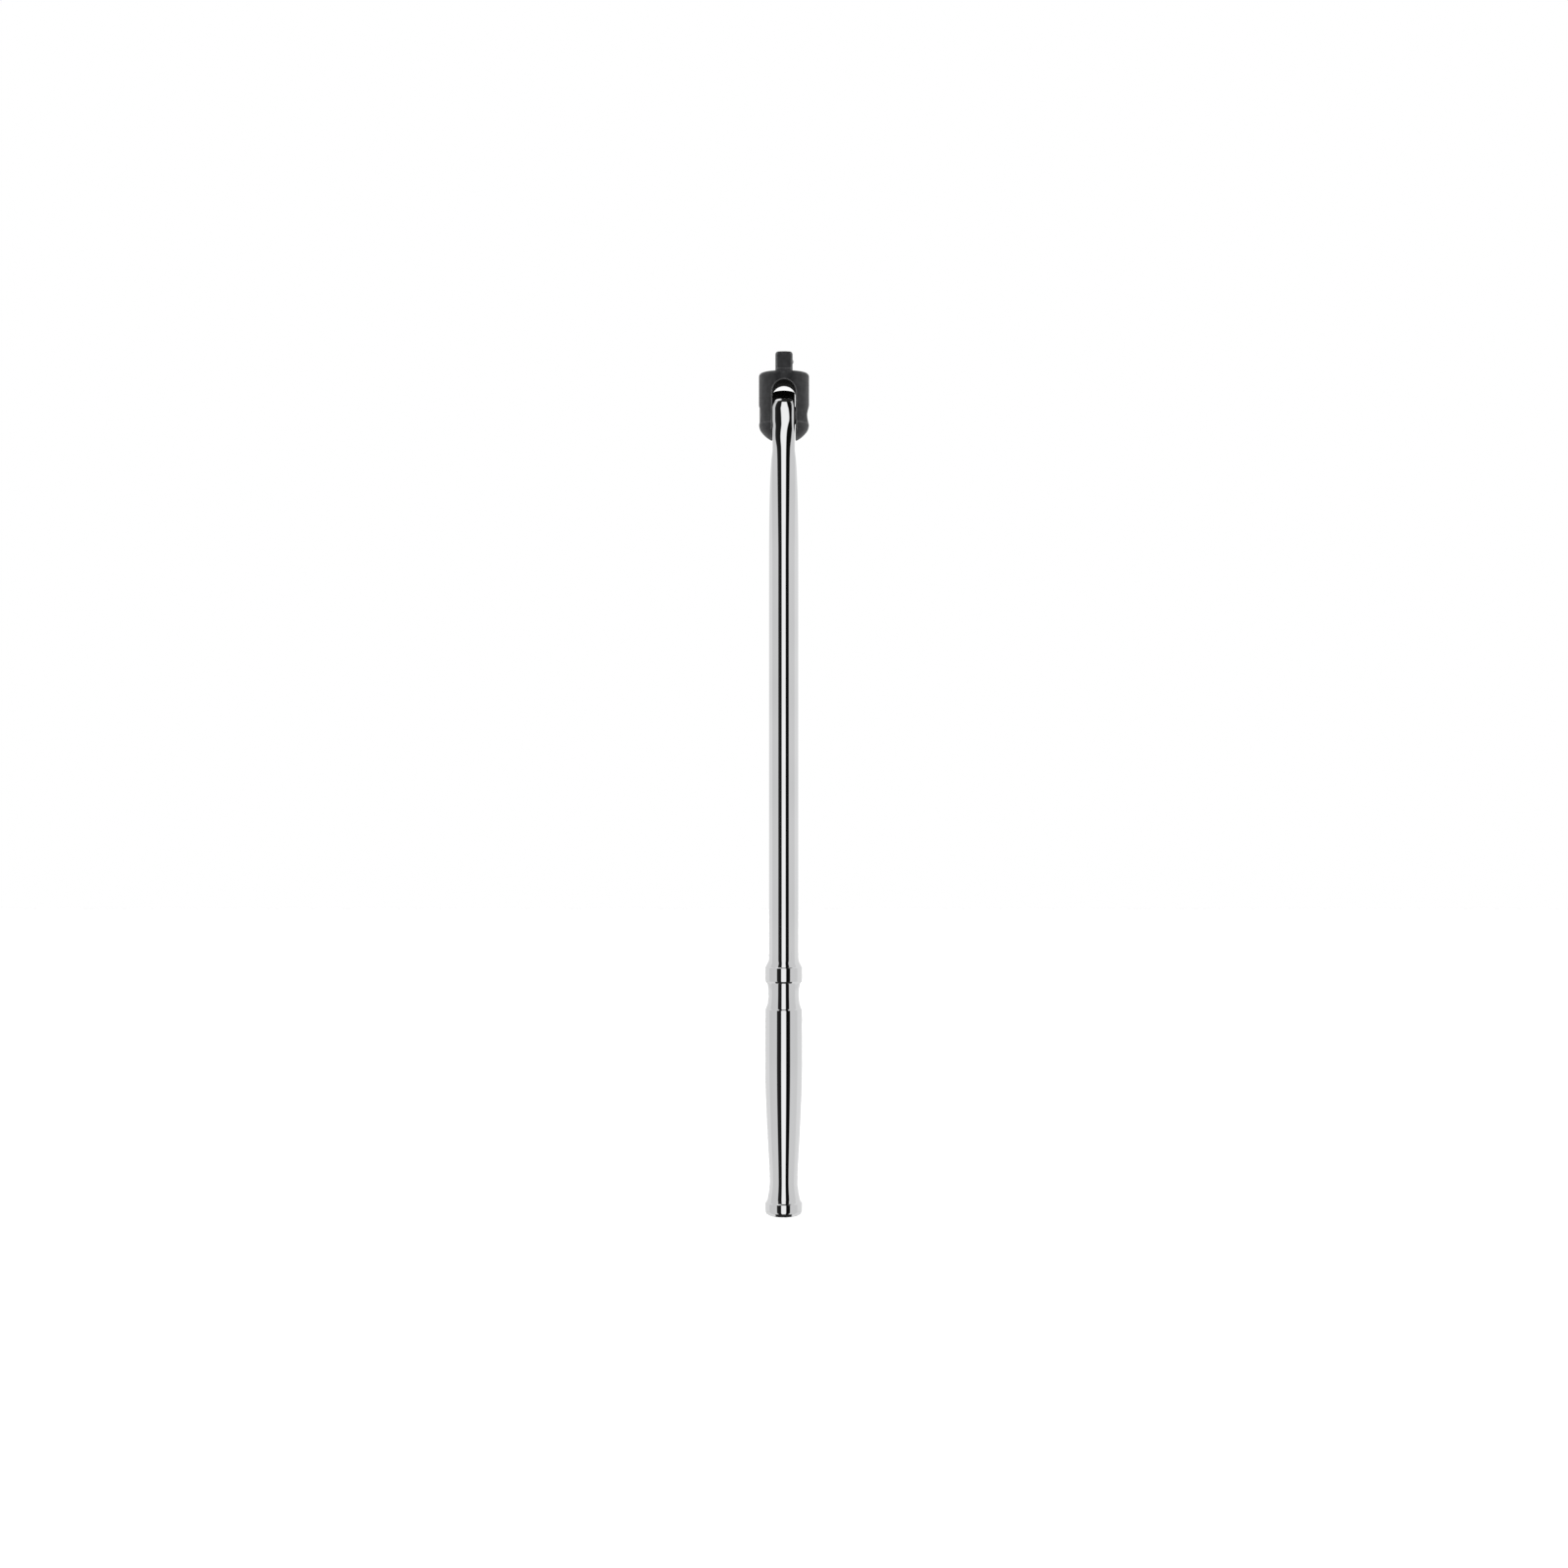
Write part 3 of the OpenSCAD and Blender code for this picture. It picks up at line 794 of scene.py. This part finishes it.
def reflected_panels(tree, sideways, towards, height):
    """What the polish sees in a direction, given as parts towards +X, the camera and up.

    Each stop is an azimuth in degrees, from the camera's side towards +X, and a brightness. Tall
    soft panels with dark gaps between them stand all round. Low down behind the bar there is one
    dark gap straight to the back instead. The panels end at a dark ceiling with one more panel
    in it, on the left, and a dark table runs under the bar to the back.
    """
    round_about = [(-180, 0.80), (-103, 0.80), (-98, 0.67), (-44, 0.69), (-41.8, 0.02), (-16, 0.01),
                   (-13.8, 1.03), (13.8, 1.03), (16, 0.004), (40, 0.004), (42.4, 0.69), (93, 0.68),
                   (98, 0.80), (180, 0.80)]
    low_behind = [(-180, 0.02), (-166, 0.02), (-163, 0.80), (-98, 0.72), (98, 0.72), (163, 0.80),
                  (166, 0.02), (180, 0.02)]
    dark = (0.02, 0.02, 0.02)
    ceiling_lamp = (0.95, 0.95, 0.95)

    azimuth = maths(tree, "ARCTAN2", sideways, towards)
    share = maths(tree, "ADD", maths(tree, "MULTIPLY", azimuth, 1 / (2 * pi)), 0.5)
    low = maths(tree, "MINIMUM", ranged(tree, height, -0.15, -0.27), ranged(tree, height, -0.42, -0.34))
    behind = ranged(tree, towards, -0.02, -0.15)
    panels = blend(tree, maths(tree, "MULTIPLY", low, behind), panel_ramp(tree, share, round_about),
                   panel_ramp(tree, share, low_behind))

    overhead = ranged(tree, height, 0.83, 0.87)
    on_left = maths(tree, "MULTIPLY", ranged(tree, towards, 0.42, 0.30),
                    ranged(tree, sideways, -0.10, -0.22))
    panels = blend(tree, overhead, panels, dark)
    panels = blend(tree, maths(tree, "MULTIPLY", overhead, on_left), panels, ceiling_lamp)

    beside = maths(tree, "MULTIPLY", maths(tree, "ABSOLUTE", sideways), 2.0)
    over_table = ranged(tree, maths(tree, "SUBTRACT", beside, towards), 1.10, 1.0)
    to_the_back = maths(tree, "MULTIPLY", ranged(tree, height, -0.1, -0.2), ranged(tree, towards, 0, -0.1))
    under = maths(tree, "MAXIMUM", ranged(tree, height, -0.78, -0.86), to_the_back)
    return blend(tree, maths(tree, "MULTIPLY", over_table, under), panels, dark)


def make_studio():
    """The studio round the bar: panels for its polish, and a white background for the camera.

    Matt surfaces get a soft light from above, stronger at the sides.
    """
    world = bpy.data.worlds.new("studio")
    bpy.context.scene.world = world
    world.use_nodes = True
    world.cycles.sampling_method = "NONE"
    tree = world.node_tree
    direction = add(tree, "ShaderNodeTexCoord").outputs["Generated"]
    parts = add(tree, "ShaderNodeSeparateXYZ", {"Vector": direction}).outputs
    sideways = parts["X"]
    towards = maths(tree, "MULTIPLY", parts["Y"], -1.0)
    height = parts["Z"]

    at_sides = maths(tree, "MULTIPLY", maths(tree, "MULTIPLY", sideways, sideways), 3.6)
    from_above = ranged(tree, height, -0.3, 0.3, 0.12, 1.25)
    soft = maths(tree, "MULTIPLY", maths(tree, "ADD", at_sides, 0.1), from_above)
    panels = reflected_panels(tree, sideways, towards, height)
    path = add(tree, "ShaderNodeLightPath").outputs
    light = blend(tree, path["Is Diffuse Ray"], panels, soft)
    light = blend(tree, path["Is Camera Ray"], light, (1.0, 1.0, 1.0))
    tree.links.new(light, tree.nodes["Background"].inputs["Color"])


def make_camera():
    """The photograph's view: level, from the front."""
    data = bpy.data.cameras.new("camera")
    data.lens = LENS_MM
    data.sensor_width = SENSOR_MM
    camera = bpy.data.objects.new("camera", data)
    camera.location = (0, -CAMERA_DISTANCE * MM, CAMERA_Z * MM)
    camera.rotation_euler = (radians(90), 0, 0)
    bpy.context.scene.collection.objects.link(camera)
    bpy.context.scene.camera = camera


make_floor()
make_studio()
make_camera()
bpy.context.scene.view_settings.view_transform = "Standard"
